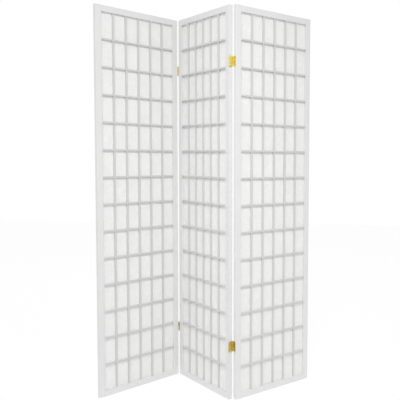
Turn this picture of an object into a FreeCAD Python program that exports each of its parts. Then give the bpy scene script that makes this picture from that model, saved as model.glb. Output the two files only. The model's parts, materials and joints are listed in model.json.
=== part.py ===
"""Three-panel folding shoji screen with two-way hinges, millimetres, +Z up, front towards -Y.

A panel is two stiles and two rails, tenoned together, round a lattice of half-lapped bars with a sheet
of translucent paper glued behind it.  Each panel is drawn in its own frame: X runs from its left edge
to its right edge, Y from front to back with 0 in the middle of the wood, and Z up from the floor.
Each pair of panels meets on two three-plate hinges: a leaf on either end face and a link between them
that turns on a pin at the front and on another at the back, so the pair folds both ways.
"""
import FreeCAD
import Part
import Sketcher
import math
import os
import re
from FreeCAD import Placement, Rotation, Vector

# ---------------------------------------------------------------- driving dimensions

SIZES = (
    ("panel_width", 431.8),
    ("panel_height", 1784),
    ("panel_thickness", 19),
    ("frame_width", 28),
    ("edge_ease", 1),
    ("cell_columns", 6),
    ("cell_rows", 14),
    ("bar_width", 8),
    ("bar_depth", 8),
    ("bar_setback", 1),
    ("rail_tenon_length", 20),
    ("rail_tenon_height", 14),
    ("rail_tenon_thickness", 6),
    ("rail_tenon_inset", 5),
    ("paper_ledge", 6),
    ("paper_margin", 0.5),
    ("paper_thickness", 0.4),
    ("panel_gap", 6),
    ("pin_offset", 1),
    ("hinge_length", 46),
    ("hinge_below_top", 247),
    ("hinge_above_floor", 247),
    ("leaf_thickness", 1.2),
    ("link_thickness", 1.2),
    ("barrel_radius", 2.8),
    ("barrel_clearance", 0.3),
    ("pin_radius", 1.4),
    ("pin_clearance", 0.05),
    ("screw_spacing", 15),
    ("screw_stagger", 3),
    ("screw_head_radius", 2.5),
    ("screw_shank_radius", 1.4),
    ("screw_length", 14),
    ("screw_clearance", 0.05),
    ("centre_heading", -45),
    ("left_fold", 94.5),
    ("right_fold", 87.5),
)

# ---------------------------------------------------------------- places worked out from them

LATTICE_FRONT = "(bar_setback - panel_thickness / 2)"
LATTICE_MIDDLE = f"({LATTICE_FRONT} + bar_depth / 2)"
LATTICE_BACK = f"({LATTICE_FRONT} + bar_depth)"
COLUMN_PITCH = "((panel_width - 2 * frame_width + bar_width) / cell_columns)"
ROW_PITCH = "((panel_height - 2 * frame_width + bar_width) / cell_rows)"
FIRST_COLUMN = f"(frame_width - bar_width / 2 + {COLUMN_PITCH})"
FIRST_ROW = f"(frame_width - bar_width / 2 + {ROW_PITCH})"
REBATE = "(frame_width - paper_ledge)"
PIN_ACROSS = "(panel_thickness / 2 + pin_offset)"
BARREL_EDGE = f"({PIN_ACROSS} - barrel_radius - barrel_clearance)"
KNUCKLE_LENGTH = "((hinge_length - barrel_clearance) / 2)"
KNUCKLE_MIDDLE = "((hinge_length + barrel_clearance) / 4)"
HINGE_HEIGHTS = {"upper": "(panel_height - hinge_below_top)", "lower": "hinge_above_floor"}
COUNTERSINK = "atan((screw_head_radius - screw_shank_radius) / leaf_thickness)"
# One row per screw: steps up from the middle of the leaf, and the side of its centre line.
SCREW_PLACES = ((-1, 1), (0, -1), (1, 1))
# The many small barrels and screws have few sides; the pins and their bores are round.
BARREL_SIDES = 12
SCREW_SIDES = 6

doc = FreeCAD.newDocument("FoldingScreen")
sheet = doc.addObject("Spreadsheet::Sheet", "Sizes")
for row, (alias, size) in enumerate(SIZES, start=1):
    sheet.set(f"A{row}", alias)
    sheet.set(f"B{row}", str(size))
    sheet.setAlias(f"B{row}", alias)
doc.recompute()


def bound(expression):
    """Every alias has an underscore, so each such word is given the sheet's name."""
    return re.sub(r"[a-z]+(?:_[a-z]+)+", r"Sizes.\g<0>", expression)


def value(expression):
    return float(sheet.evalExpression(bound(expression)))


# ---------------------------------------------------------------- drawing helpers

def origin_of(body, role):
    return next(feature for feature in body.Origin.OriginFeatures if feature.Role == role)


def new_body(name, frame):
    """A body whose placement follows the frame of the panel or hinge that it belongs to."""
    body = doc.addObject("PartDesign::Body", name)
    body.Label = name
    body.setExpression("Placement", f"{frame.Name}.Placement")
    return body


def new_sketch(body, plane, across="0", up="0", out="0"):
    """A sketch on one of the body's planes, moved in the plane and out of it."""
    sketch = body.newObject("Sketcher::SketchObject", "Sketch")
    sketch.AttachmentSupport = (origin_of(body, plane), [""])
    sketch.MapMode = "FlatFace"
    sketch.setExpression("AttachmentOffset.Base.x", bound(across))
    sketch.setExpression("AttachmentOffset.Base.y", bound(up))
    sketch.setExpression("AttachmentOffset.Base.z", bound(out))
    return sketch


def fix(sketch, geometry, point, x, y):
    """Holds one point of a sketch at x, y from its origin."""
    for kind, expression in (("DistanceX", x), ("DistanceY", y)):
        constraint = Sketcher.Constraint(kind, -1, 1, geometry, point, value(expression))
        index = sketch.addConstraint(constraint)
        sketch.setExpression(f"Constraints[{index}]", bound(expression))


def outline(sketch, corners):
    """A closed outline of straight lines through the corners."""
    places = [Vector(value(x), value(y), 0) for x, y in corners]
    lines = []
    for start, end in zip(places, places[1:] + places[:1]):
        lines.append(sketch.addGeometry(Part.LineSegment(start, end), False))
    for line, following in zip(lines, lines[1:] + lines[:1]):
        sketch.addConstraint(Sketcher.Constraint("Coincident", line, 2, following, 1))
    for line, (x, y) in zip(lines, corners):
        fix(sketch, line, 1, x, y)


def rectangle(sketch, left, right, low, high):
    outline(sketch, [(left, low), (right, low), (right, high), (left, high)])


def circle(sketch, x, y, radius):
    shape = Part.Circle(Vector(value(x), value(y), 0), Vector(0, 0, 1), value(radius))
    ring = sketch.addGeometry(shape, False)
    fix(sketch, ring, 3, x, y)
    index = sketch.addConstraint(Sketcher.Constraint("Radius", ring, value(radius)))
    sketch.setExpression(f"Constraints[{index}]", bound(radius))


def prism(sketch, x, y, flat, sides):
    """A regular outline whose flats lie at a distance from its middle: a light stand-in for a circle."""
    half_side = math.radians(180 / sides)
    corners = []
    for corner in range(sides):
        angle = 2 * half_side * corner + half_side
        along = math.cos(angle) / math.cos(half_side)
        up = math.sin(angle) / math.cos(half_side)
        corners.append((f"{x} + ({along:.6f}) * ({flat})", f"{y} + ({up:.6f}) * ({flat})"))
    outline(sketch, corners)


def extrude(body, kind, sketch, length):
    """A pad or pocket that reaches half its length to either side of the sketch."""
    feature = body.newObject(f"PartDesign::{kind}", kind)
    feature.Profile = sketch
    feature.SideType = "Symmetric"
    feature.setExpression("Length", bound(length))
    return feature


def pad(body, sketch, length):
    return extrude(body, "Pad", sketch, length)


def pocket(body, sketch, length):
    return extrude(body, "Pocket", sketch, length)


def countersink(body, kind, across, up, radius):
    """A screw's head, or the hole for one: from the wood's face outwards, widening at the head's slope.

    The sides are drafted and not tapered as they are drawn, because drafted sides stay flat.
    """
    shank = new_sketch(body, "YZ_Plane")
    prism(shank, across, up, radius, SCREW_SIDES)
    straight = body.newObject(f"PartDesign::{kind}", kind)
    straight.Profile = shank
    straight.Reversed = kind == "Pocket"
    straight.setExpression("Length", bound("leaf_thickness"))
    doc.recompute()
    axis = Vector(value("leaf_thickness") / 2, value(across), value(up))
    sides = [f"Face{number}" for number, face in enumerate(straight.Shape.Faces, start=1)
             if abs(face.CenterOfMass.x - axis.x) < 0.01
             and (face.CenterOfMass - axis).Length < 1.01 * value(radius)]
    draft = body.newObject("PartDesign::Draft", "Draft")
    draft.Base = (straight, sides)
    draft.NeutralPlane = (origin_of(body, "YZ_Plane"), [""])
    draft.setExpression("Angle", bound(COUNTERSINK))
    draft.Reversed = kind == "Pad"
    body.Tip = draft


def repeat(body, features, axis, spacing, count):
    """A straight row of copies of some features, or of the whole body so far if none is named."""
    pattern = body.newObject("PartDesign::LinearPattern", "LinearPattern")
    if features:
        pattern.Originals = features
    else:
        pattern.TransformMode = "Whole shape"
    pattern.Direction = (origin_of(body, axis), [""])
    pattern.Mode = "Spacing"
    pattern.setExpression("Offset", bound(spacing))
    pattern.setExpression("Occurrences", bound(count))
    body.Tip = pattern


# ---------------------------------------------------------------- panel pieces

def stile(name, frame, edge, inward, leaf_side):
    """An upright of the frame: edge is its outer face and inward, 1 or -1, points to the lattice.

    leaf_side is 1 or -1 where hinge leaves are screwed to its outer face, and 0 on a free edge.
    """
    def across(distance):
        return f"{edge} + ({inward}) * ({distance})"

    body = new_body(name, frame)
    profile = new_sketch(body, "XY_Plane", out="panel_height / 2")
    outline(profile, [
        (across("edge_ease"), "-panel_thickness / 2"),
        (across("frame_width"), "-panel_thickness / 2"),
        (across("frame_width"), LATTICE_BACK),
        (across(REBATE), LATTICE_BACK),
        (across(REBATE), "panel_thickness / 2"),
        (across("edge_ease"), "panel_thickness / 2"),
        (across("0"), "panel_thickness / 2 - edge_ease"),
        (across("0"), "edge_ease - panel_thickness / 2"),
    ])
    pad(body, profile, "panel_height")

    mortises = new_sketch(body, "YZ_Plane", out=across("frame_width - rail_tenon_length / 2"))
    for low in ("rail_tenon_inset", "panel_height - rail_tenon_inset - rail_tenon_height"):
        rectangle(mortises, "-rail_tenon_thickness / 2", "rail_tenon_thickness / 2",
                  low, f"{low} + rail_tenon_height")
    body.Tip = pocket(body, mortises, "rail_tenon_length")

    if leaf_side:
        holes = new_sketch(body, "YZ_Plane", out=across("screw_length / 2"))
        for height in HINGE_HEIGHTS.values():
            for step, stagger in SCREW_PLACES:
                prism(holes, f"({leaf_side * stagger}) * screw_stagger",
                      f"{height} + ({step}) * screw_spacing", "screw_shank_radius + screw_clearance",
                      SCREW_SIDES)
        body.Tip = pocket(body, holes, "screw_length")


def rail(name, frame, edge, inward):
    """A crosspiece of the frame: edge is its outer height and inward, 1 or -1, points to the lattice."""
    def height(distance):
        return f"{edge} + ({inward}) * ({distance})"

    body = new_body(name, frame)
    sections = (
        ("-panel_thickness / 2", LATTICE_BACK, "0", "frame_width", "panel_width - 2 * frame_width"),
        (LATTICE_BACK, "panel_thickness / 2", "0", REBATE, f"panel_width - 2 * {REBATE}"),
        ("-rail_tenon_thickness / 2", "rail_tenon_thickness / 2", "rail_tenon_inset",
         "rail_tenon_inset + rail_tenon_height", "panel_width - 2 * (frame_width - rail_tenon_length)"),
    )
    for front, back, outer, inner, length in sections:
        section = new_sketch(body, "YZ_Plane", out="panel_width / 2")
        rectangle(section, front, back, height(outer), height(inner))
        body.Tip = pad(body, section, length)


def vertical_bars(name, frame):
    """The upright bars: their back half is cut away wherever a crossbar passes behind."""
    body = new_body(name, frame)
    section = new_sketch(body, "XY_Plane", across=FIRST_COLUMN, out="panel_height / 2")
    rectangle(section, "-bar_width / 2", "bar_width / 2", LATTICE_FRONT, LATTICE_BACK)
    pad(body, section, "panel_height - 2 * frame_width")
    notch = new_sketch(body, "YZ_Plane", up=FIRST_ROW, out=FIRST_COLUMN)
    rectangle(notch, LATTICE_MIDDLE, LATTICE_BACK, "-bar_width / 2", "bar_width / 2")
    first = pocket(body, notch, "bar_width")
    repeat(body, [first], "Z_Axis", ROW_PITCH, "cell_rows - 1")
    repeat(body, [], "X_Axis", COLUMN_PITCH, "cell_columns - 1")


def horizontal_bars(name, frame):
    """The crossbars: their front half is cut away wherever an upright bar passes in front."""
    body = new_body(name, frame)
    section = new_sketch(body, "YZ_Plane", up=FIRST_ROW, out="panel_width / 2")
    rectangle(section, LATTICE_FRONT, LATTICE_BACK, "-bar_width / 2", "bar_width / 2")
    pad(body, section, "panel_width - 2 * frame_width")
    notch = new_sketch(body, "XY_Plane", across=FIRST_COLUMN, out=FIRST_ROW)
    rectangle(notch, "-bar_width / 2", "bar_width / 2", LATTICE_FRONT, LATTICE_MIDDLE)
    first = pocket(body, notch, "bar_width")
    repeat(body, [first], "X_Axis", COLUMN_PITCH, "cell_columns - 1")
    repeat(body, [], "Z_Axis", ROW_PITCH, "cell_rows - 1")


def paper(name, frame):
    """One sheet, glued to the back of the bars and to the ledge of the frame's rebate."""
    body = new_body(name, frame)
    section = new_sketch(body, "YZ_Plane", out="panel_width / 2")
    rectangle(section, LATTICE_BACK, f"{LATTICE_BACK} + paper_thickness",
              f"{REBATE} + paper_margin", f"panel_height - {REBATE} - paper_margin")
    pad(body, section, f"panel_width - 2 * ({REBATE} + paper_margin)")


def panel(name, frame, leaf_on_left, leaf_on_right):
    stile(f"{name}_left_stile", frame, "0", 1, -1 if leaf_on_left else 0)
    stile(f"{name}_right_stile", frame, "panel_width", -1, 1 if leaf_on_right else 0)
    rail(f"{name}_top_rail", frame, "panel_height", -1)
    rail(f"{name}_bottom_rail", frame, "0", 1)
    vertical_bars(f"{name}_vertical_bars", frame)
    horizontal_bars(f"{name}_horizontal_bars", frame)
    paper(f"{name}_paper", frame)


# ---------------------------------------------------------------- hinge pieces

def leaf(name, frame):
    """A plate on an end face, X outwards from the wood, with its knuckle round the front pin."""
    body = new_body(name, frame)
    plate = new_sketch(body, "XY_Plane")
    rectangle(plate, "0", "leaf_thickness", f"-{BARREL_EDGE}", BARREL_EDGE)
    pad(body, plate, "hinge_length")
    tongue = new_sketch(body, "XY_Plane", out=KNUCKLE_MIDDLE)
    rectangle(tongue, "0", "leaf_thickness", f"-{PIN_ACROSS}", f"-{BARREL_EDGE}")
    pad(body, tongue, KNUCKLE_LENGTH)
    knuckle(body, "panel_gap / 2", f"-{PIN_ACROSS}", KNUCKLE_MIDDLE)
    for step, stagger in SCREW_PLACES:
        countersink(body, "Pocket", f"({stagger}) * screw_stagger", f"({step}) * screw_spacing",
                    "screw_shank_radius + screw_clearance")


def link(name, frame):
    """The plate between two leaves, with a knuckle round the front pin and one round the back pin."""
    body = new_body(name, frame)
    plate = new_sketch(body, "XY_Plane")
    rectangle(plate, "-link_thickness / 2", "link_thickness / 2", f"-{BARREL_EDGE}", BARREL_EDGE)
    pad(body, plate, "hinge_length")
    reach = f"({PIN_ACROSS} - (pin_radius + barrel_radius) / 2)"
    tongue = new_sketch(body, "XY_Plane", out=f"-{KNUCKLE_MIDDLE}")
    rectangle(tongue, "-link_thickness / 2", "link_thickness / 2", f"-{reach}", reach)
    pad(body, tongue, KNUCKLE_LENGTH)
    for side in ("-", ""):
        knuckle(body, "0", f"{side}{PIN_ACROSS}", f"-{KNUCKLE_MIDDLE}")


def knuckle(body, x, y, middle):
    """A barrel with a round bore, as long as half the hinge less its share of the end clearance."""
    ring = new_sketch(body, "XY_Plane", out=middle)
    prism(ring, x, y, "barrel_radius", BARREL_SIDES)
    circle(ring, x, y, "pin_radius + pin_clearance")
    body.Tip = pad(body, ring, KNUCKLE_LENGTH)


def pin(name, frame, across):
    """A plain round pin, as long as the barrel that it holds together."""
    body = new_body(name, frame)
    section = new_sketch(body, "XY_Plane")
    circle(section, "0", across, "pin_radius")
    pad(body, section, "hinge_length")


def screws(name, frame):
    """Three countersunk wood screws, flush with the leaf and driven into the end face."""
    body = new_body(name, frame)
    for step, stagger in SCREW_PLACES:
        place = (f"({stagger}) * screw_stagger", f"({step}) * screw_spacing")
        countersink(body, "Pad", *place, "screw_shank_radius")
        shank = new_sketch(body, "YZ_Plane", out="-screw_length / 2")
        prism(shank, *place, "screw_shank_radius", SCREW_SIDES)
        body.Tip = pad(body, shank, "screw_length")


# ---------------------------------------------------------------- frames of the panels and hinges

def new_frame(name):
    return doc.addObject("App::Placement", f"{name}_frame")


def moved(x, y, z=0):
    return Placement(Vector(x, y, z), Rotation())


def turned(degrees, x=0, y=0):
    """A turn about an upright line through x, y."""
    return Placement(Vector(0, 0, 0), Rotation(Vector(0, 0, 1), degrees), Vector(x, y, 0))


SIDES = ("left", "right")
panel_frames = {name: new_frame(f"{name}_panel") for name in ("left", "centre", "right")}
hinge_frames = {}
for side in SIDES:
    for level in HINGE_HEIGHTS:
        for piece in ("outer_leaf", "link", "inner_leaf"):
            hinge_frames[side, level, piece] = new_frame(f"{side}_{level}_{piece}")


def place_all(origin):
    """Sets every frame: the panels folded as they stand, with the whole screen moved to its origin."""
    width = value("panel_width")
    gap = value("panel_gap")
    pin_across = value(PIN_ACROSS)
    centre = origin * turned(value("centre_heading"))
    left = centre * turned(value("left_fold"), -gap / 2, -pin_across) * moved(-width - gap, 0)
    right = centre * turned(value("right_fold"), width + gap / 2, pin_across) * moved(width + gap, 0)
    for name, place in (("left", left), ("centre", centre), ("right", right)):
        panel_frames[name].Placement = place
    half_turn = turned(180)
    for level, height in HINGE_HEIGHTS.items():
        up = moved(0, 0, value(height))
        right_end = moved(width, 0) * up
        left_end = half_turn * up
        hinge_frames["left", level, "outer_leaf"].Placement = left * right_end
        hinge_frames["left", level, "link"].Placement = centre * moved(-gap / 2, 0) * up
        hinge_frames["left", level, "inner_leaf"].Placement = centre * left_end
        hinge_frames["right", level, "inner_leaf"].Placement = centre * right_end
        hinge_frames["right", level, "link"].Placement = centre * moved(width + gap / 2, 0) * up
        hinge_frames["right", level, "outer_leaf"].Placement = right * left_end


# ---------------------------------------------------------------- the screen

place_all(Placement())
panel("left_panel", panel_frames["left"], False, True)
panel("centre_panel", panel_frames["centre"], True, True)
panel("right_panel", panel_frames["right"], True, False)
for side in SIDES:
    for level in HINGE_HEIGHTS:
        hinge = f"{side}_{level}_hinge"
        for end in ("outer", "inner"):
            leaf_frame = hinge_frames[side, level, f"{end}_leaf"]
            leaf(f"{hinge}_{end}_leaf", leaf_frame)
            screws(f"{hinge}_{end}_screws", leaf_frame)
        link_frame = hinge_frames[side, level, "link"]
        link(f"{hinge}_link", link_frame)
        pin(f"{hinge}_front_pin", link_frame, f"-{PIN_ACROSS}")
        pin(f"{hinge}_back_pin", link_frame, PIN_ACROSS)
doc.recompute()

pieces = [item for item in doc.Objects if item.TypeId == "PartDesign::Body"]


def whole_box():
    box = FreeCAD.BoundBox()
    for piece in pieces:
        box.add(piece.Shape.BoundBox)
    return box


footprint = whole_box()
place_all(moved(-footprint.Center.x, -footprint.Center.y))
doc.recompute()

for item in doc.Objects:
    if "Invalid" in item.State or "Error" in item.State:
        raise RuntimeError(f"{item.Name} did not rebuild: {item.State}")
for piece in pieces:
    if piece.Shape.isNull() or not piece.Shape.isValid():
        raise RuntimeError(f"{piece.Label} has no valid shape")

os.makedirs("parts", exist_ok=True)
for piece in pieces:
    piece.Shape.exportStep(f"parts/{piece.Label}.step")

box = whole_box()
print(f"{len(pieces)} pieces, {box.XLength:.1f} x {box.YLength:.1f} x {box.ZLength:.1f} mm")
for side in SIDES:
    place = hinge_frames[side, "lower", "link"].Placement
    for name, across in (("front", -value(PIN_ACROSS)), ("back", value(PIN_ACROSS))):
        at = place.multVec(Vector(0, across, 0))
        print(f"{side} {name} pin at {at.x:.4f}, {at.y:.4f}")
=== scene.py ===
"""Dresses a three-panel folding shoji screen in lacquered wood, paper and brass two-way hinges.

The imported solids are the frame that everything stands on.  Each piece here takes the place of one
solid, rides on the same body and has the same size: wood with eased edges, paper that bows back a
little between the bars, and hinges with round barrels, countersunk holes and cross-headed screws.
"""
import json
import math

import bmesh
import bpy
from bpy.props import FloatProperty, FloatVectorProperty, IntProperty, PointerProperty
from mathutils import Matrix, Vector

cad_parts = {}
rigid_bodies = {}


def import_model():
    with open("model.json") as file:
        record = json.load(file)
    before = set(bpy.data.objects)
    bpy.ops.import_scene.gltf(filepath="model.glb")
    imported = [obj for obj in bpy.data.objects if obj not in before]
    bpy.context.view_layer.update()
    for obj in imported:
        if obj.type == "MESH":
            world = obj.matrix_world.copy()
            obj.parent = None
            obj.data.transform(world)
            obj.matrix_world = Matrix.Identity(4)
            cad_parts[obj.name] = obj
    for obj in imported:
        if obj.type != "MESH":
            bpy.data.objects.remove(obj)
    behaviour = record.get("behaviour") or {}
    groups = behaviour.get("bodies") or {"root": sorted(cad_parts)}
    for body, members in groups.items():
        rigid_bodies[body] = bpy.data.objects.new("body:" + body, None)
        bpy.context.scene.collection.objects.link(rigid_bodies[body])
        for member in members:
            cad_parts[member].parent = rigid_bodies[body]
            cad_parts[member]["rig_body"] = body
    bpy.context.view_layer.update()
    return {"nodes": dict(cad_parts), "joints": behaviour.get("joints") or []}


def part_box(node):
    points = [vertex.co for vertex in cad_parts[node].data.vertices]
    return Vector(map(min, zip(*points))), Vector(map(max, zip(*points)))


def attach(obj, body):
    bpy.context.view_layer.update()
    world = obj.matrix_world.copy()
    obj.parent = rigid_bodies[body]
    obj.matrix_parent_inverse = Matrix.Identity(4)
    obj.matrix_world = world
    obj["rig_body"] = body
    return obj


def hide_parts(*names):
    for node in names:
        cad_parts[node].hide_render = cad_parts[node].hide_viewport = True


bl_info = {
    "name": "Folding Shoji Screen",
    "version": (1, 0, 0),
    "blender": (4, 5, 0),
    "location": "3D View > Sidebar > Screen",
    "description": "Builds the finished wood, paper and hinges of a folding screen",
    "category": "Add Mesh",
}

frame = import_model()

PANELS = ("left", "centre", "right")
SIDES = ("left", "right")
LEVELS = ("upper", "lower")
JOINTS = {joint["name"]: joint for joint in frame["joints"]}


def pin_axis(side, row):
    """A point on the axis of a front or back pin, at rest."""
    return Vector(JOINTS[f"{side}_{row}_pin"]["pos_m"])


def height_of(node):
    low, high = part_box(node)
    return high.z - low.z


# The pins of one joint lie square to the centre panel, and each fold starts from a flat screen.
ACROSS = pin_axis("left", "back") - pin_axis("left", "front")
PIN_ACROSS = ACROSS.length / 2
CENTRE_HEADING = math.atan2(ACROSS.y, ACROSS.x) - math.pi / 2
HEADINGS = {
    "left": CENTRE_HEADING - math.radians(JOINTS["left_front_pin"]["range_deg"][0]),
    "centre": CENTRE_HEADING,
    "right": CENTRE_HEADING - math.radians(JOINTS["right_back_pin"]["range_deg"][0]),
}


# ---------------------------------------------------------------- numbers behind the shapes

# Edges shorter than these, in metres, belong to tenons, mortises, pilot holes and half-laps.
SHORTEST_FRAME_EDGE = 0.0205
SHORTEST_BAR_EDGE = 0.0085

# Vertices nearer than this, in metres, are one, and faces turned less than this, in degrees, too.
WELD = 0.00001
FLAT = 0.5

# What counts as parallel to an axis, and as facing down, from 0 to 1.
PARALLEL = 0.999
FACING = 0.9

# Degrees past which an edge is eased or a rim rounded, and up to which faces are shaded as one.
EASED_FROM = 45
RIM_FROM = 50
BARS_SHADE_TO = 50
METAL_SHADE_TO = 32
PAPER_SHADE_TO = 30

# Cells of the lattice across and up, and divisions of the paper in each of them.
CELLS = (6, 14)
CELL_DIVISIONS = (6, 8)

# Keeps two faces apart by too little to see, in metres.
HAIR = 0.00003

# A cutter's length as a share of the hinge's, and a tongue's start as a share of the half plate.
CUTTER = 1.2
TONGUE_START = 0.9

# Where the seam of a rolled leaf starts: out from the wood as a share of the plate's thickness, and
# sideways from the pin as a share of the bore.
SEAM_OUT = 1.02
SEAM_SIDEWAYS = 0.9

# A countersunk hole's radii at its floor and mouth, as shares of the screw's shank and head, its
# depth as a share of the plate's thickness, and metres added at its mouth.
HOLE_FLOOR = 0.95
HOLE_MOUTH = 1.09
HOLE_DEPTH = 1.1
HOLE_CLEARANCE = 0.00005

# A screw's shank and point as shares of its length, and its tip's radius as a share of the shank's.
SHANK = 0.8
POINT = 0.2
TIP = 0.15

# The cross recess: its length and width as shares of the head's radius, its height, half of it in
# the head, as a share of the plate's thickness, and its floor as a share of its mouth.
RECESS_LENGTH = 1.15
RECESS_WIDTH = 0.27
RECESS_HEIGHT = 1.3
RECESS_FLOOR = 0.45

# How the first screw is turned, and how much further each next one, in radians.
FIRST_SPIN = 0.5
NEXT_SPIN = 1.1

# How much of a pin's radius its domed end takes up.
DOME = 0.4


# ---------------------------------------------------------------- what a user would change

def length(name, description, default):
    return FloatProperty(name=name, description=description, default=default, min=0.0,
                         unit="LENGTH", subtype="DISTANCE", precision=5)


def colour(name, description, default):
    return FloatVectorProperty(name=name, description=description, default=default, size=3,
                               min=0.0, max=1.0, subtype="COLOR")


def share(name, description, default):
    return FloatProperty(name=name, description=description, default=default, min=0.0, max=1.0,
                         subtype="FACTOR")


class ScreenSizes(bpy.types.PropertyGroup):
    """Sizes of the finish that the solids leave plain."""

    frame_ease: length("Frame easing", "Rounding along the edges of stiles and rails", 0.0008)
    bar_ease: length("Bar easing", "Rounding along the edges of the lattice bars", 0.0004)
    paper_margin: length("Paper margin", "From the paper's edge to the lattice", 0.0015)
    paper_sag: length("Paper sag", "How far the paper bows back in the middle of a cell", 0.0003)
    leaf_corner: length("Leaf corner", "Radius of the corners of leaves and links", 0.0022)
    leaf_ease: length("Leaf easing", "Rounding along the edges of the stamped plates", 0.00018)
    plate: length("Plate thickness", "Thickness of leaves and links", 0.0012)
    plate_half_width: length("Plate half width", "From a leaf's middle to its edge", 0.0074)
    hinge_length: length("Hinge length", "Height of a hinge", height_of("left_upper_hinge_link"))
    pin_stand_off: length("Pin stand-off", "From the wood's end face to the pin", 0.003)
    barrel: length("Barrel radius", "Outer radius of a knuckle", 0.0028)
    bore: length("Bore radius", "Inner radius of a knuckle", 0.00145)
    knuckle_gap: length("Knuckle gap", "Clearance between two knuckles on one pin", 0.0003)
    pin: length("Pin radius", "Radius of a hinge pin", 0.0014)
    screw_head: length("Screw head radius", "Radius of a countersunk head", 0.0025)
    screw_shank: length("Screw shank radius", "Radius of a screw below its head", 0.0014)
    screw_length: length("Screw length", "From the wood's end face to the screw's tip", 0.014)
    screw_spacing: length("Screw spacing", "Height between two screws of a leaf", 0.015)
    screw_stagger: length("Screw stagger", "From the leaf's middle line to a screw", 0.003)
    facets: IntProperty(name="Facets", description="Sides of a round barrel, pin or screw",
                        default=32, min=8, max=96)


class ScreenColours(bpy.types.PropertyGroup):
    """Base colours, as they would be on a colour card, save for painted shade: the lattice and the
    screws are darker than their own colour, and the lower hinges get more tarnish.
    """

    frame: colour("Frame lacquer", "White lacquer on stiles and rails", (0.775, 0.775, 0.775))
    # The lattice is the frame's white lacquer darkened as painted shade: the thin bars are darkened
    # for the shade round them, not for a colour of their own.
    lattice: colour("Lattice lacquer", "White lacquer on the bars", (0.64, 0.64, 0.635))
    paper: colour("Paper", "Pulp of the paper", (0.80, 0.80, 0.795))
    fibre: colour("Fibres", "Long fibres in the paper", (0.90, 0.90, 0.895))
    brass: colour("Brass", "Polished leaves, links and barrels", (0.95, 0.83, 0.26))
    tarnish: colour("Tarnish", "Duller patches on the brass", (0.56, 0.42, 0.10))
    # The screws' dark plated colour is deepened as painted shade for the countersunk holes round
    # them.
    screws: colour("Screws", "Plated screws", (0.11, 0.085, 0.03))
    wear_upper: share("Wear of upper hinges", "How far the tarnish has spread", 0.0)
    # The extra tarnish on the lower hinges is painted shade: it makes them darker than the upper
    # ones.
    lower_hinge_painted_shade: share("Wear of lower hinges", "How far the tarnish has spread", 0.19)


class ScreenStage(bpy.types.PropertyGroup):
    """The camera and the studio light."""

    camera: FloatVectorProperty(name="Camera", description="Where the camera stands", size=3,
                                default=(0.5648, -2.7211, 1.1058), subtype="TRANSLATION",
                                unit="LENGTH")
    heading: FloatProperty(name="Heading", description="Turn of the view from +Y", subtype="ANGLE",
                           unit="ROTATION", default=math.radians(2.62))
    tilt: FloatProperty(name="Tilt", description="Tilt of the view above the horizon",
                        subtype="ANGLE", unit="ROTATION", default=math.radians(-3.45))
    roll: FloatProperty(name="Roll", description="Roll of the camera", subtype="ANGLE",
                        unit="ROTATION", default=math.radians(0.48))
    lens: FloatProperty(name="Lens", description="Focal length", subtype="DISTANCE_CAMERA",
                        unit="CAMERA", default=51.96)
    shift: FloatVectorProperty(name="Shift", description="Shift of the frame, in frame widths",
                               size=2, default=(-0.25, -0.0156))
    key: FloatProperty(name="Key light", description="Power of the main lamp", unit="POWER",
                       default=9.5)
    back: FloatProperty(name="Back light", description="Power of the lamp behind", unit="POWER",
                        default=22.0)
    fill: FloatProperty(name="Fill", description="Strength of the even light all round",
                        default=0.68)


# ---------------------------------------------------------------- modelling helpers

def settings():
    """The scene's sizes, colours and stage."""
    scene = bpy.context.scene
    return scene.screen_sizes, scene.screen_colours, scene.screen_stage


def alone(piece):
    """Makes a piece the only selected and the active object."""
    if bpy.context.mode != "OBJECT":
        bpy.ops.object.mode_set(mode="OBJECT")
    bpy.ops.object.select_all(action="DESELECT")
    piece.select_set(True)
    bpy.context.view_layer.objects.active = piece


def begin(name, primitive, **settings_of_it):
    """A new primitive on its own, with nothing else selected."""
    bpy.ops.object.select_all(action="DESELECT")
    getattr(bpy.ops.mesh, f"primitive_{primitive}_add")(**settings_of_it)
    piece = bpy.context.object
    piece.name = piece.data.name = name
    return piece


def block(name, low, high):
    """A block between two corners."""
    low, high = Vector(low), Vector(high)
    piece = begin(name, "cube", size=1, location=(low + high) / 2)
    piece.scale = high - low
    bpy.ops.object.transform_apply(location=True, rotation=False, scale=True)
    return piece


def edit(piece, kind, test):
    """Opens a piece in edit mode with the faces, edges or vertices selected that pass a test."""
    alone(piece)
    bpy.ops.object.mode_set(mode="EDIT")
    bpy.ops.mesh.select_mode(type=kind)
    bpy.ops.mesh.select_all(action="DESELECT")
    mesh = bmesh.from_edit_mesh(piece.data)
    items = {"FACE": mesh.faces, "EDGE": mesh.edges, "VERT": mesh.verts}[kind]
    chosen = [item for item in items if test(item)]
    if not chosen:
        raise RuntimeError(f"nothing to work on in {piece.name}")
    for item in chosen:
        item.select_set(True)
    mesh.select_flush_mode()
    bmesh.update_edit_mesh(piece.data)


def close_edit():
    bpy.ops.object.mode_set(mode="OBJECT")


def modify(piece, kind, **values):
    """Adds a modifier and applies it."""
    alone(piece)
    modifier = piece.modifiers.new(kind.title(), kind)
    for name, value in values.items():
        setattr(modifier, name, value)
    bpy.ops.object.modifier_apply(modifier=modifier.name)


def combine(piece, other, operation):
    """Joins another piece to this one, or cuts it away, and removes it."""
    modify(piece, "BOOLEAN", object=other, operation=operation, solver="EXACT")
    bpy.data.objects.remove(other)


def middle(edge):
    return (edge.verts[0].co + edge.verts[1].co) / 2


def runs_along(edge, axis):
    """Whether an edge is parallel to an axis."""
    run = edge.verts[1].co - edge.verts[0].co
    return abs(run[axis]) > PARALLEL * run.length


def sharp(edge, degrees=30):
    """Whether an edge stands out and its faces turn by more than an angle."""
    return (len(edge.link_faces) == 2 and edge.is_convex
            and edge.calc_face_angle() > math.radians(degrees))


def sharp_rim(edge):
    return sharp(edge, RIM_FROM)


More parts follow.
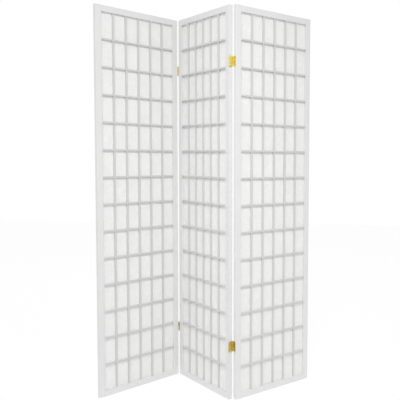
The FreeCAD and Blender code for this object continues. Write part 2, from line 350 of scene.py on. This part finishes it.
def faces_down(face):
    return face.normal.z < -FACING


def smooth(piece, degrees=40):
    """Smooth shading on rounded edges, with the flats kept flat."""
    alone(piece)
    bpy.ops.object.shade_smooth_by_angle(angle=math.radians(degrees))
    modify(piece, "WEIGHTED_NORMAL", keep_sharp=True)


def copy_of_solid(node, name):
    """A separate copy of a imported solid, with its loose triangles joined into whole faces."""
    piece = bpy.data.objects.new(name, frame["nodes"][node].data.copy())
    piece.data.name = name
    piece.data.materials.clear()
    bpy.context.scene.collection.objects.link(piece)
    alone(piece)
    bpy.ops.mesh.customdata_custom_splitnormals_clear()
    edit(piece, "VERT", lambda vertex: True)
    bpy.ops.mesh.remove_doubles(threshold=WELD)
    bpy.ops.mesh.dissolve_limited(angle_limit=math.radians(FLAT), delimit=set())
    close_edit()
    return piece


def copy_of_piece(piece, name):
    """A copy of a finished piece with its own mesh."""
    copy = bpy.data.objects.new(name, piece.data.copy())
    copy.data.name = name
    bpy.context.scene.collection.objects.link(copy)
    return copy


def put(piece, place):
    """Moves and turns a piece, and leaves its object at the origin with its place in its mesh."""
    alone(piece)
    piece.matrix_world = place
    bpy.ops.object.transform_apply(location=True, rotation=True, scale=True)


def seat(piece, node, material):
    """Gives a piece its finish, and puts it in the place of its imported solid, on the same body."""
    piece.data.materials.clear()
    piece.data.materials.append(material)
    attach(piece, frame["nodes"][node]["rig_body"])
    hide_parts(node)


def upright_turn(angle):
    return Matrix.Rotation(angle, 4, "Z")


def turned_box(node, heading):
    """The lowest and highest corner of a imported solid, measured along its own panel."""
    turn = upright_turn(-heading)
    corners = [turn @ vertex.co for vertex in frame["nodes"][node].data.vertices]
    return (Vector(min(corner[axis] for corner in corners) for axis in range(3)),
            Vector(max(corner[axis] for corner in corners) for axis in range(3)))


# ---------------------------------------------------------------- materials

def new_material(name):
    """A material with a Principled shader and nothing else."""
    material = bpy.data.materials.new(name)
    material.use_nodes = True
    tree = material.node_tree
    tree.nodes.clear()
    shader = add(tree, "BsdfPrincipled")
    add(tree, "OutputMaterial", {"Surface": shader.outputs["BSDF"]})
    return material, tree, shader


def add(tree, kind, inputs=None, **values):
    """A node with its settings, its links and its values; a socket is given as what feeds it."""
    node = tree.nodes.new(f"ShaderNode{kind}")
    for name, value in values.items():
        setattr(node, name, value)
    for name, value in (inputs or {}).items():
        if isinstance(value, bpy.types.NodeSocket):
            tree.links.new(value, node.inputs[name])
        else:
            node.inputs[name].default_value = value
    return node


def stretched(tree, heading, stretch, lean=0.0, shift=(0, 0, 0)):
    """Object coordinates turned to a panel's own directions, and drawn out along one of them."""
    place = add(tree, "TexCoord").outputs["Object"]
    along = add(tree, "Mapping", {"Vector": place, "Rotation": (0, 0, heading), "Location": shift},
                vector_type="TEXTURE")
    return add(tree, "Mapping", {"Vector": along.outputs["Vector"], "Rotation": (0, lean, 0),
                                 "Scale": stretch}, vector_type="TEXTURE").outputs["Vector"]


def noise(tree, place, scale, detail=2.0, roughness=0.5, distortion=0.0):
    return add(tree, "TexNoise", {"Vector": place, "Scale": scale, "Detail": detail,
                                  "Roughness": roughness, "Distortion": distortion}).outputs["Fac"]


def spread(tree, value, low, high, to_low=0.0, to_high=1.0):
    """A value from one range to another, held at its ends."""
    return add(tree, "MapRange", {"Value": value, "From Min": low, "From Max": high,
                                  "To Min": to_low, "To Max": to_high}).outputs["Result"]


def blend(tree, share, first, second):
    """A colour between two colours."""
    node = add(tree, "Mix", data_type="RGBA")
    tree.links.new(share, node.inputs["Factor"])
    for socket, value in ((node.inputs[6], first), (node.inputs[7], second)):
        if isinstance(value, bpy.types.NodeSocket):
            tree.links.new(value, socket)
        else:
            socket.default_value = (*value, 1.0)
    return node.outputs[2]


def math_node(tree, operation, *values):
    """The result of one Math node."""
    return add(tree, "Math", dict(enumerate(values)), operation=operation).outputs[0]


def relief(tree, height, distance, below=None):
    """A bump of a height in metres, over another bump if there is one."""
    inputs = {"Height": height, "Distance": distance, "Strength": 1.0}
    if below is not None:
        inputs["Normal"] = below
    return add(tree, "Bump", inputs).outputs["Normal"]


def feed(tree, shader, **inputs):
    """Links or sets the shader's sockets, named with underscores for spaces."""
    for name, value in inputs.items():
        socket = shader.inputs[name.replace("_", " ")]
        if isinstance(value, bpy.types.NodeSocket):
            tree.links.new(value, socket)
        else:
            socket.default_value = value


def shade(base, amount):
    """A colour made darker or lighter by a factor."""
    return tuple(amount * part for part in base)


def lacquered_wood(name, base, heading, upright, shift):
    """White satin lacquer over close-grained wood: faint pores along the grain and orange peel."""
    material, tree, shader = new_material(name)
    drawn_out = (1, 1, 28) if upright else (28, 1, 1)
    along = stretched(tree, heading, drawn_out, shift=shift)
    even = stretched(tree, heading, (1, 1, 1), shift=shift)
    grain = noise(tree, along, scale=330, detail=4, roughness=0.6, distortion=0.3)
    streak = noise(tree, along, scale=70)
    cloud = noise(tree, even, scale=9)
    peel = noise(tree, even, scale=900)
    pores = spread(tree, grain, low=0.35, high=0.65)
    lines = spread(tree, streak, low=0.42, high=0.7, to_high=0.5)
    patches = spread(tree, cloud, low=0.35, high=0.7, to_high=0.35)
    tone = blend(tree, pores, base, shade(base, 0.955))
    tone = blend(tree, lines, tone, shade(base, 0.95))
    tone = blend(tree, patches, tone, shade(base, 1.03))
    normal = relief(tree, peel, distance=0.000012)
    normal = relief(tree, grain, distance=0.00004, below=normal)
    satin = spread(tree, streak, low=0.3, high=0.7, to_low=0.36, to_high=0.47)
    feed(tree, shader, Base_Color=tone, Roughness=satin, Normal=normal, Coat_Weight=0.15,
         Coat_Roughness=0.3)
    return material


def shoji_paper(name, pulp, fibre, heading, shift):
    """Translucent pulp with long fibres that lie every way in the sheet."""
    material, tree, shader = new_material(name)
    fibres = None
    for lean, scale, width in ((0.35, 210, 0.022), (1.45, 260, 0.02), (2.5, 180, 0.018)):
        drawn_out = stretched(tree, heading, (7, 1, 1), lean, shift)
        wave = noise(tree, drawn_out, scale, detail=3, roughness=0.55, distortion=0.9)
        # A fibre lies where the wave crosses its middle value.
        off = math_node(tree, "ABSOLUTE", math_node(tree, "SUBTRACT", wave, 0.5))
        line = spread(tree, off, low=0.0, high=width, to_low=1.0, to_high=0.0)
        fibres = line if fibres is None else math_node(tree, "MAXIMUM", fibres, line)
    even = stretched(tree, heading, (1, 1, 1), shift=shift)
    cloud = noise(tree, even, scale=42, detail=4, roughness=0.6)
    speckle = noise(tree, even, scale=800)
    tone = blend(tree, spread(tree, cloud, low=0.3, high=0.7), shade(pulp, 0.955), pulp)
    tone = blend(tree, spread(tree, fibres, low=0.0, high=1.0, to_high=0.7), tone, fibre)
    normal = relief(tree, speckle, distance=0.00003)
    normal = relief(tree, fibres, distance=0.00004, below=normal)
    matt = spread(tree, cloud, low=0.3, high=0.7, to_low=0.78, to_high=0.92)
    feed(tree, shader, Base_Color=tone, Roughness=matt, Normal=normal, Subsurface_Weight=1.0,
         Subsurface_Radius=(1.0, 1.0, 1.0), Subsurface_Scale=0.0006, Specular_IOR_Level=0.25)
    return material


def worn_brass(name, bright, dull, tarnish_spread):
    """Stamped and rolled brass: duller patches, fine rolling marks and tiny pits."""
    material, tree, shader = new_material(name)
    even = stretched(tree, 0.0, (1, 1, 1))
    rolled = stretched(tree, 0.0, (1, 1, 14))
    patch = noise(tree, even, scale=120, detail=4, roughness=0.65)
    marks = noise(tree, rolled, scale=1500)
    pits = noise(tree, even, scale=1100, detail=3)
    tone = blend(tree, spread(tree, patch, low=0.42 - tarnish_spread, high=0.74 - tarnish_spread), bright, dull)
    normal = relief(tree, marks, distance=0.000012)
    normal = relief(tree, spread(tree, pits, low=0.3, high=0.42), distance=0.00002, below=normal)
    polish = spread(tree, patch, low=0.3, high=0.7, to_low=0.24, to_high=0.42)
    feed(tree, shader, Base_Color=tone, Metallic=1.0, Roughness=polish, Normal=normal)
    return material


# ---------------------------------------------------------------- wood and paper

def ease_longer(piece, shortest, width, segments):
    """Rounds the sharp edges that are longer than a length."""
    edit(piece, "EDGE", lambda edge: sharp(edge) and edge.calc_length() > shortest)
    bpy.ops.mesh.bevel(offset=width, segments=segments, affect="EDGES")
    close_edit()


class SCREEN_OT_frames(bpy.types.Operator):
    """Stiles and rails in white lacquer, with eased edges that leave a fine line where they meet"""

    bl_idname = "folding_screen.frames"
    bl_label = "Frames"

    PARTS = (("left_stile", True), ("right_stile", True),
             ("top_rail", False), ("bottom_rail", False))

    def execute(self, context):
        sizes, colours, _ = settings()
        for number, panel in enumerate(PANELS):
            heading = HEADINGS[panel]
            for part, upright in self.PARTS:
                node = f"{panel}_panel_{part}"
                piece = copy_of_solid(node, f"{node}_lacquered")
                # The long edges and the shoulders show; tenons, mortises and pilot holes don't.
                ease_longer(piece, SHORTEST_FRAME_EDGE, sizes.frame_ease, segments=3)
                smooth(piece)
                material = lacquered_wood(f"lacquer {panel} {part}", tuple(colours.frame), heading,
                                          upright, self.place_in_grain(number, part))
                seat(piece, node, material)
        return {"FINISHED"}

    def place_in_grain(self, number, part):
        """Gives each piece its own stretch of the endless grain."""
        return 0.31 * number, 0.17 * len(part), 0.23 * number + 0.05 * len(part)


class SCREEN_OT_lattice(bpy.types.Operator):
    """Half-lapped lattice bars with eased edges, flush where they cross"""

    bl_idname = "folding_screen.lattice"
    bl_label = "Lattice"

    def execute(self, context):
        sizes, colours, _ = settings()
        for number, panel in enumerate(PANELS):
            for part, upright in (("vertical_bars", True), ("horizontal_bars", False)):
                node = f"{panel}_panel_{part}"
                piece = copy_of_solid(node, f"{node}_lacquered")
                ease_longer(piece, SHORTEST_BAR_EDGE, sizes.bar_ease, segments=2)
                smooth(piece, BARS_SHADE_TO)
                place_in_grain = (0.4 * number + 0.2, 0.1, 0.37 * number)
                # The bars' lacquer is darker than the frame's as painted shade.
                material = lacquered_wood(f"lacquer {panel} {part}", tuple(colours.lattice),
                                          HEADINGS[panel], upright, place_in_grain)
                seat(piece, node, material)
        return {"FINISHED"}


class SCREEN_OT_paper(bpy.types.Operator):
    """One stretched sheet of paper to a panel, bowed back by a hair between the bars"""

    bl_idname = "folding_screen.paper"
    bl_label = "Paper"

    def execute(self, context):
        sizes, colours, _ = settings()
        for number, panel in enumerate(PANELS):
            node = f"{panel}_panel_paper"
            low, high = turned_box(node, HEADINGS[panel])
            size = high - low
            piece = begin(f"{node}_sheet", "grid", x_subdivisions=CELLS[0] * CELL_DIVISIONS[0],
                          y_subdivisions=CELLS[1] * CELL_DIVISIONS[1], size=1)
            place = Vector(((low.x + high.x) / 2, low.y, (low.z + high.z) / 2))
            piece.matrix_world = (Matrix.Translation(place) @ Matrix.Rotation(math.pi / 2, 4, "X")
                                  @ Matrix.Diagonal((size.x, size.z, 1, 1)))
            bpy.ops.object.transform_apply(location=True, rotation=True, scale=True)
            self.bow_between_bars(piece, low, size, sizes)
            # The grid's faces look to the front, and the sheet's thickness goes behind them.
            modify(piece, "SOLIDIFY", thickness=size.y, offset=-1)
            bpy.ops.object.shade_smooth_by_angle(angle=math.radians(PAPER_SHADE_TO))
            put(piece, upright_turn(HEADINGS[panel]))
            material = shoji_paper(f"paper {panel}", tuple(colours.paper), tuple(colours.fibre),
                                   HEADINGS[panel], (0.3 * number, 0, 0.6 * number))
            seat(piece, node, material)
        return {"FINISHED"}

    def bow_between_bars(self, piece, low, size, sizes):
        """Moves the paper back, most in the middle of a cell and not at all at a bar."""
        pitch_across = (size.x - 2 * sizes.paper_margin) / CELLS[0]
        pitch_up = (size.z - 2 * sizes.paper_margin) / CELLS[1]
        for vertex in piece.data.vertices:
            across = (vertex.co.x - low.x - sizes.paper_margin) / pitch_across
            up = (vertex.co.z - low.z - sizes.paper_margin) / pitch_up
            bow = abs(math.sin(math.pi * across) * math.sin(math.pi * up))
            vertex.co.y += sizes.paper_sag * bow


# ---------------------------------------------------------------- hinges

def barrel(sizes, axis, low, high):
    """A knuckle before it is bored: a round bar upright between two heights."""
    piece = begin("barrel", "cylinder", vertices=sizes.facets, radius=sizes.barrel,
                  depth=high - low, location=(*axis, (low + high) / 2))
    bpy.ops.object.transform_apply(location=True, rotation=False, scale=False)
    edit(piece, "EDGE", sharp_rim)
    bpy.ops.mesh.bevel(offset=sizes.leaf_ease, segments=2, affect="EDGES")
    close_edit()
    return piece


def tongue(sizes, low, high):
    """The strip from a plate to its knuckle, a hair thinner than the plate so no faces coincide."""
    inset = Vector((HAIR, 0, HAIR))
    piece = block("tongue", Vector(low) + inset, Vector(high) - inset)
    ease(piece, sizes.leaf_ease)
    return piece


def bore(piece, sizes, axis):
    """Cuts a pin's hole right through a piece."""
    drill = begin("drill", "cylinder", vertices=sizes.facets, radius=sizes.bore,
                  depth=sizes.hinge_length * CUTTER, location=(*axis, 0))
    combine(piece, drill, "DIFFERENCE")


def stamped_plate(name, sizes, near, far, rounded):
    """A flat plate between two depths, with corners rounded where the test says and eased edges."""
    half = sizes.hinge_length / 2
    piece = block(name, (near, -sizes.plate_half_width, -half), (far, sizes.plate_half_width, half))
    edit(piece, "EDGE", lambda edge: runs_along(edge, 0) and rounded(middle(edge)))
    bpy.ops.mesh.bevel(offset=sizes.leaf_corner, segments=6, affect="EDGES")
    close_edit()
    ease(piece, sizes.leaf_ease)
    return piece


def ease(piece, width):
    """Rounds the edges of a plate or strip."""
    edit(piece, "EDGE", lambda edge: sharp(edge, EASED_FROM))
    bpy.ops.mesh.bevel(offset=width, segments=2, affect="EDGES")
    close_edit()


def screw_places(sizes):
    """Across and up, for each screw of a leaf."""
    return [(side * sizes.screw_stagger, step * sizes.screw_spacing)
            for step, side in ((-1, 1), (0, -1), (1, 1))]


def model_leaf(sizes):
    """A leaf in its own frame: X out from the wood, knuckle round the pin in the upper half."""
    gap = sizes.knuckle_gap / 2
    half = sizes.hinge_length / 2
    axis = (sizes.pin_stand_off, -PIN_ACROSS)
    piece = stamped_plate("leaf", sizes, 0, sizes.plate, lambda at: at.y > 0 or at.z < 0)
    strip = tongue(sizes, (0, -PIN_ACROSS, gap),
                   (sizes.plate, -sizes.plate_half_width * TONGUE_START, half))
    combine(piece, strip, "UNION")
    combine(piece, barrel(sizes, axis, gap, half), "UNION")
    bore(piece, sizes, axis)
    # The plate is rolled round the pin, and its end stops short of the plate.
    out = sizes.plate * SEAM_OUT
    seam = block("seam", (out, -PIN_ACROSS + sizes.bore * SEAM_SIDEWAYS, -half * CUTTER),
                 (out + sizes.knuckle_gap, -sizes.plate_half_width, half * CUTTER))
    combine(piece, seam, "DIFFERENCE")
    for across, up in screw_places(sizes):
        hole = begin("hole", "cone", vertices=sizes.facets,
                     radius1=sizes.screw_shank * HOLE_FLOOR,
                     radius2=sizes.screw_head * HOLE_MOUTH + HOLE_CLEARANCE,
                     depth=sizes.plate * HOLE_DEPTH, location=(sizes.plate / 2, across, up),
                     rotation=(0, math.pi / 2, 0))
        combine(piece, hole, "DIFFERENCE")
    smooth(piece, METAL_SHADE_TO)
    return piece


def model_link(sizes):
    """The plate between two leaves, with a knuckle round either pin in the lower half."""
    gap = sizes.knuckle_gap / 2
    half = sizes.hinge_length / 2
    near, far = -sizes.plate / 2, sizes.plate / 2
    piece = stamped_plate("link", sizes, near, far, lambda at: at.z > 0)
    for side in (-1, 1):
        pin_y = side * PIN_ACROSS
        inner, outer = sorted((side * sizes.plate_half_width * TONGUE_START,
                               pin_y - side * sizes.bore / 2))
        combine(piece, tongue(sizes, (near, inner, -half), (far, outer, -gap)), "UNION")
        combine(piece, barrel(sizes, (0, pin_y), -half, -gap), "UNION")
        bore(piece, sizes, (0, pin_y))
    smooth(piece, METAL_SHADE_TO)
    return piece


def model_pin(sizes):
    """A pin with slightly domed ends, upright on its own axis."""
    piece = begin("pin", "cylinder", vertices=sizes.facets, radius=sizes.pin,
                  depth=sizes.hinge_length)
    edit(piece, "EDGE", sharp_rim)
    bpy.ops.mesh.bevel(offset=sizes.pin * DOME, segments=4, affect="EDGES")
    close_edit()
    smooth(piece)
    return piece


def model_screw(sizes):
    """A countersunk screw with a cross recess, flush with the leaf and pointed in the wood."""
    piece = begin("screw", "cone", vertices=sizes.facets, radius1=sizes.screw_shank,
                  radius2=sizes.screw_head, depth=sizes.plate, location=(0, 0, sizes.plate / 2))
    bpy.ops.object.transform_apply(location=True, rotation=False, scale=False)
    edit(piece, "FACE", faces_down)
    for part in (SHANK, POINT):
        down = (0, 0, -sizes.screw_length * part)
        bpy.ops.mesh.extrude_region_move(TRANSFORM_OT_translate={"value": down})
    bpy.ops.transform.resize(value=(TIP, TIP, 1))
    close_edit()
    edit(piece, "EDGE", lambda edge: sharp_rim(edge) and middle(edge).z > sizes.plate / 2)
    bpy.ops.mesh.bevel(offset=sizes.leaf_ease, segments=2, affect="EDGES")
    close_edit()
    for turn in (0, math.pi / 2):
        slot = begin("slot", "cube", size=1, location=(0, 0, sizes.plate))
        slot.scale = (sizes.screw_head * RECESS_LENGTH, sizes.screw_head * RECESS_WIDTH,
                      sizes.plate * RECESS_HEIGHT)
        slot.rotation_euler.z = turn
        bpy.ops.object.transform_apply(location=True, rotation=True, scale=True)
        edit(slot, "FACE", faces_down)
        bpy.ops.transform.resize(value=(RECESS_FLOOR, RECESS_FLOOR, 1))
        close_edit()
        combine(piece, slot, "DIFFERENCE")
    smooth(piece, METAL_SHADE_TO)
    put(piece, Matrix.Rotation(math.pi / 2, 4, "Y"))
    return piece


def leaf_spot(side, end, sizes):
    """The place of a leaf: its turn, and its middle on the wood's end face."""
    row = "front" if (side == "left") == (end == "outer") else "back"
    turn = HEADINGS["centre"] if end == "inner" else HEADINGS[side]
    if (side == "left") == (end == "inner"):
        turn += math.pi
    turn = upright_turn(turn)
    return turn, pin_axis(side, row) - turn @ Vector((sizes.pin_stand_off, -PIN_ACROSS, 0))


def at_height(place, turn, node):
    """A place and turn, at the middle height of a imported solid."""
    low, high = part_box(node)
    return Matrix.Translation((place.x, place.y, (low.z + high.z) / 2)) @ turn


def each_hinge():
    """Side, level and name of each of the four hinges."""
    for side in SIDES:
        for level in LEVELS:
            yield side, level, f"{side}_{level}_hinge"


def brass_by_level(pieces, colours):
    """The lower hinges get more of the dull tarnish than the upper ones, as painted shade that makes
    them darker.
    """
    tarnish_spread = {"upper": colours.wear_upper, "lower": colours.lower_hinge_painted_shade}
    return {level: worn_brass(f"brass {level} {pieces}", tuple(colours.brass),
                              tuple(colours.tarnish), tarnish_spread[level])
            for level in LEVELS}


class SCREEN_OT_leaves(bpy.types.Operator):
    """Hinge leaves with rounded corners, rolled barrels and countersunk holes"""

    bl_idname = "folding_screen.leaves"
    bl_label = "Hinge leaves"

    def execute(self, context):
        sizes, colours, _ = settings()
        pattern = model_leaf(sizes)
        brass = brass_by_level("leaves", colours)
        for side, level, hinge in each_hinge():
            for end in ("outer", "inner"):
                node = f"{hinge}_{end}_leaf"
                turn, place = leaf_spot(side, end, sizes)
                piece = copy_of_piece(pattern, f"{node}_brass")
                put(piece, at_height(place, turn, node))
                seat(piece, node, brass[level])
        bpy.data.objects.remove(pattern)
        return {"FINISHED"}


class SCREEN_OT_links(bpy.types.Operator):
    """The plates between the leaves, with a barrel on either edge"""

    bl_idname = "folding_screen.links"
    bl_label = "Hinge links"

    def execute(self, context):
        sizes, colours, _ = settings()
        pattern = model_link(sizes)
        brass = brass_by_level("links", colours)
        for side, level, hinge in each_hinge():
            node = f"{hinge}_link"
            piece = copy_of_piece(pattern, f"{node}_brass")
            place = (pin_axis(side, "front") + pin_axis(side, "back")) / 2
            put(piece, at_height(place, upright_turn(CENTRE_HEADING), node))
            seat(piece, node, brass[level])
        bpy.data.objects.remove(pattern)
        return {"FINISHED"}


class SCREEN_OT_pins(bpy.types.Operator):
    """Hinge pins with domed ends"""

    bl_idname = "folding_screen.pins"
    bl_label = "Hinge pins"

    def execute(self, context):
        sizes, colours, _ = settings()
        pattern = model_pin(sizes)
        # The pins are dull tarnish with dark patches as painted shade for the narrow gap between the
        # panels where they sit.
        brass = worn_brass("brass pins", tuple(colours.tarnish), tuple(colours.screws),
                           colours.lower_hinge_painted_shade)
        for side, _, hinge in each_hinge():
            for row in ("front", "back"):
                node = f"{hinge}_{row}_pin"
                piece = copy_of_piece(pattern, f"{node}_brass")
                put(piece, at_height(pin_axis(side, row), upright_turn(0.0), node))
                seat(piece, node, brass)
        bpy.data.objects.remove(pattern)
        return {"FINISHED"}


class SCREEN_OT_screws(bpy.types.Operator):
    """Three countersunk cross-headed screws to a leaf"""

    bl_idname = "folding_screen.screws"
    bl_label = "Hinge screws"

    def execute(self, context):
        sizes, colours, _ = settings()
        pattern = model_screw(sizes)
        # Dark plated screws, darkened further as painted shade for the shadow in their countersunk
        # holes.
        brass = worn_brass("plated screws", tuple(colours.screws), tuple(colours.tarnish),
                           colours.wear_upper)
        for side, _, hinge in each_hinge():
            for end in ("outer", "inner"):
                node = f"{hinge}_{end}_screws"
                turn, place = leaf_spot(side, end, sizes)
                copies = []
                for number, (across, up) in enumerate(screw_places(sizes)):
                    copy = copy_of_piece(pattern, f"{node}_{number}")
                    spin = Matrix.Rotation(FIRST_SPIN + NEXT_SPIN * number + len(node), 4, "X")
                    put(copy, at_height(place, turn, node)
                        @ Matrix.Translation((0, across, up)) @ spin)
                    copies.append(copy)
                alone(copies[0])
                for copy in copies:
                    copy.select_set(True)
                bpy.ops.object.join()
                piece = bpy.context.object
                piece.name = piece.data.name = f"{node}_brass"
                seat(piece, node, brass)
        bpy.data.objects.remove(pattern)
        return {"FINISHED"}


# ---------------------------------------------------------------- stage

class SCREEN_OT_stage(bpy.types.Operator):
    """A pale floor, soft studio light, and the camera"""

    bl_idname = "folding_screen.stage"
    bl_label = "Stage"

    FLOOR_SIZE = 14.0
    FLOOR_DROP = 0.0002
    FLOOR_GLOW = 0.95
    KEY_LAMP = {"place": (0.32, -2.8, 3.6), "target": (0.06, 0.0, 0.55),
                "size": 0.7, "degrees": 60}
    BACK_LAMP = {"place": (-1.5, 3.2, 2.6), "target": (0.0, 0.0, 0.9),
                 "size": 1.6, "degrees": 180}
    SENSOR = 36.0
    CLIP = (0.05, 60.0)

    def execute(self, context):
        stage = settings()[2]
        self.lay_floor()
        self.light_room(stage)
        self.hang_lamp("key lamp", stage.key, **self.KEY_LAMP)
        self.hang_lamp("back lamp", stage.back, **self.BACK_LAMP)
        self.set_camera(stage)
        context.scene.view_settings.view_transform = "Standard"
        return {"FINISHED"}

    def lay_floor(self):
        """A white floor that still takes the screen's shadow."""
        floor = begin("floor", "plane", size=self.FLOOR_SIZE, location=(0, 0, -self.FLOOR_DROP))
        material, tree, shader = new_material("pale floor")
        feed(tree, shader, Base_Color=(0.97, 0.97, 0.97, 1), Roughness=0.9, Specular_IOR_Level=0.1)
        white = add(tree, "Emission", {"Color": (1, 1, 1, 1), "Strength": 1.0})
        seen = math_node(tree, "MULTIPLY", self.seen_or_mirrored(tree), self.FLOOR_GLOW)
        mix = add(tree, "MixShader", {"Fac": seen, 1: shader.outputs["BSDF"],
                                      2: white.outputs["Emission"]})
        output = next(node for node in tree.nodes if node.type == "OUTPUT_MATERIAL")
        tree.links.new(mix.outputs["Shader"], output.inputs["Surface"])
        floor.data.materials.append(material)

    def seen_or_mirrored(self, tree):
        """1 for what the camera sees straight, in metal or through the paper, and 0 for light."""
        path = add(tree, "LightPath")
        found = path.outputs["Is Camera Ray"]
        for name in ("Is Glossy Ray", "Is Transmission Ray"):
            found = math_node(tree, "MAXIMUM", found, path.outputs[name])
        return found

    def light_room(self, stage):
        """Even light all round, white where the camera or a reflection sees it."""
        world = bpy.data.worlds.new("studio")
        bpy.context.scene.world = world
        world.use_nodes = True
        tree = world.node_tree
        tree.nodes.clear()
        strength = spread(tree, self.seen_or_mirrored(tree), low=0.0, high=1.0, to_low=stage.fill)
        light = add(tree, "Background", {"Color": (1, 1, 1, 1), "Strength": strength})
        add(tree, "OutputWorld", {"Surface": light.outputs["Background"]})

    def hang_lamp(self, name, power, place, target, size, degrees):
        """A round lamp that points at a target, with its light kept within an angle."""
        data = bpy.data.lights.new(name, "AREA")
        data.shape = "DISK"
        data.size = size
        data.energy = power
        data.spread = math.radians(degrees)
        lamp = bpy.data.objects.new(name, data)
        bpy.context.scene.collection.objects.link(lamp)
        lamp.location = place
        lamp.rotation_euler = (Vector(target) - Vector(place)).to_track_quat("-Z", "Y").to_euler()

    def set_camera(self, stage):
        """The camera, at the place and angle that give the photograph's view."""
        data = bpy.data.cameras.new("camera")
        data.lens = stage.lens
        data.sensor_width = self.SENSOR
        data.shift_x, data.shift_y = stage.shift
        data.clip_start, data.clip_end = self.CLIP
        camera = bpy.data.objects.new("camera", data)
        bpy.context.scene.collection.objects.link(camera)
        camera.matrix_world = (Matrix.Translation(stage.camera) @ upright_turn(stage.heading)
                               @ Matrix.Rotation(math.pi / 2 + stage.tilt, 4, "X")
                               @ Matrix.Rotation(stage.roll, 4, "Z"))
        bpy.context.scene.camera = camera


class SCREEN_PT_sidebar(bpy.types.Panel):
    """Lists the pieces of the screen in the order in which they are made"""

    bl_label = "Folding screen"
    bl_idname = "SCREEN_PT_sidebar"
    bl_space_type = "VIEW_3D"
    bl_region_type = "UI"
    bl_category = "Screen"

    def draw(self, context):
        for operator in OPERATORS:
            self.layout.operator(operator.bl_idname)
        for group in settings():
            box = self.layout.box()
            for name in group.__annotations__:
                box.prop(group, name)


OPERATORS = (SCREEN_OT_frames, SCREEN_OT_lattice, SCREEN_OT_paper, SCREEN_OT_leaves,
             SCREEN_OT_links, SCREEN_OT_pins, SCREEN_OT_screws, SCREEN_OT_stage)
GROUPS = {"screen_sizes": ScreenSizes, "screen_colours": ScreenColours,
          "screen_stage": ScreenStage}


def register():
    for each in (*GROUPS.values(), *OPERATORS, SCREEN_PT_sidebar):
        bpy.utils.register_class(each)
    for name, group in GROUPS.items():
        setattr(bpy.types.Scene, name, PointerProperty(type=group))


def unregister():
    for name in GROUPS:
        delattr(bpy.types.Scene, name)
    for each in reversed((*GROUPS.values(), *OPERATORS, SCREEN_PT_sidebar)):
        bpy.utils.unregister_class(each)


def main():
    """Makes every piece and the stage."""
    register()
    for operator in OPERATORS:
        group, name = operator.bl_idname.split(".")
        getattr(getattr(bpy.ops, group), name)()


if __name__ == "__main__":
    main()
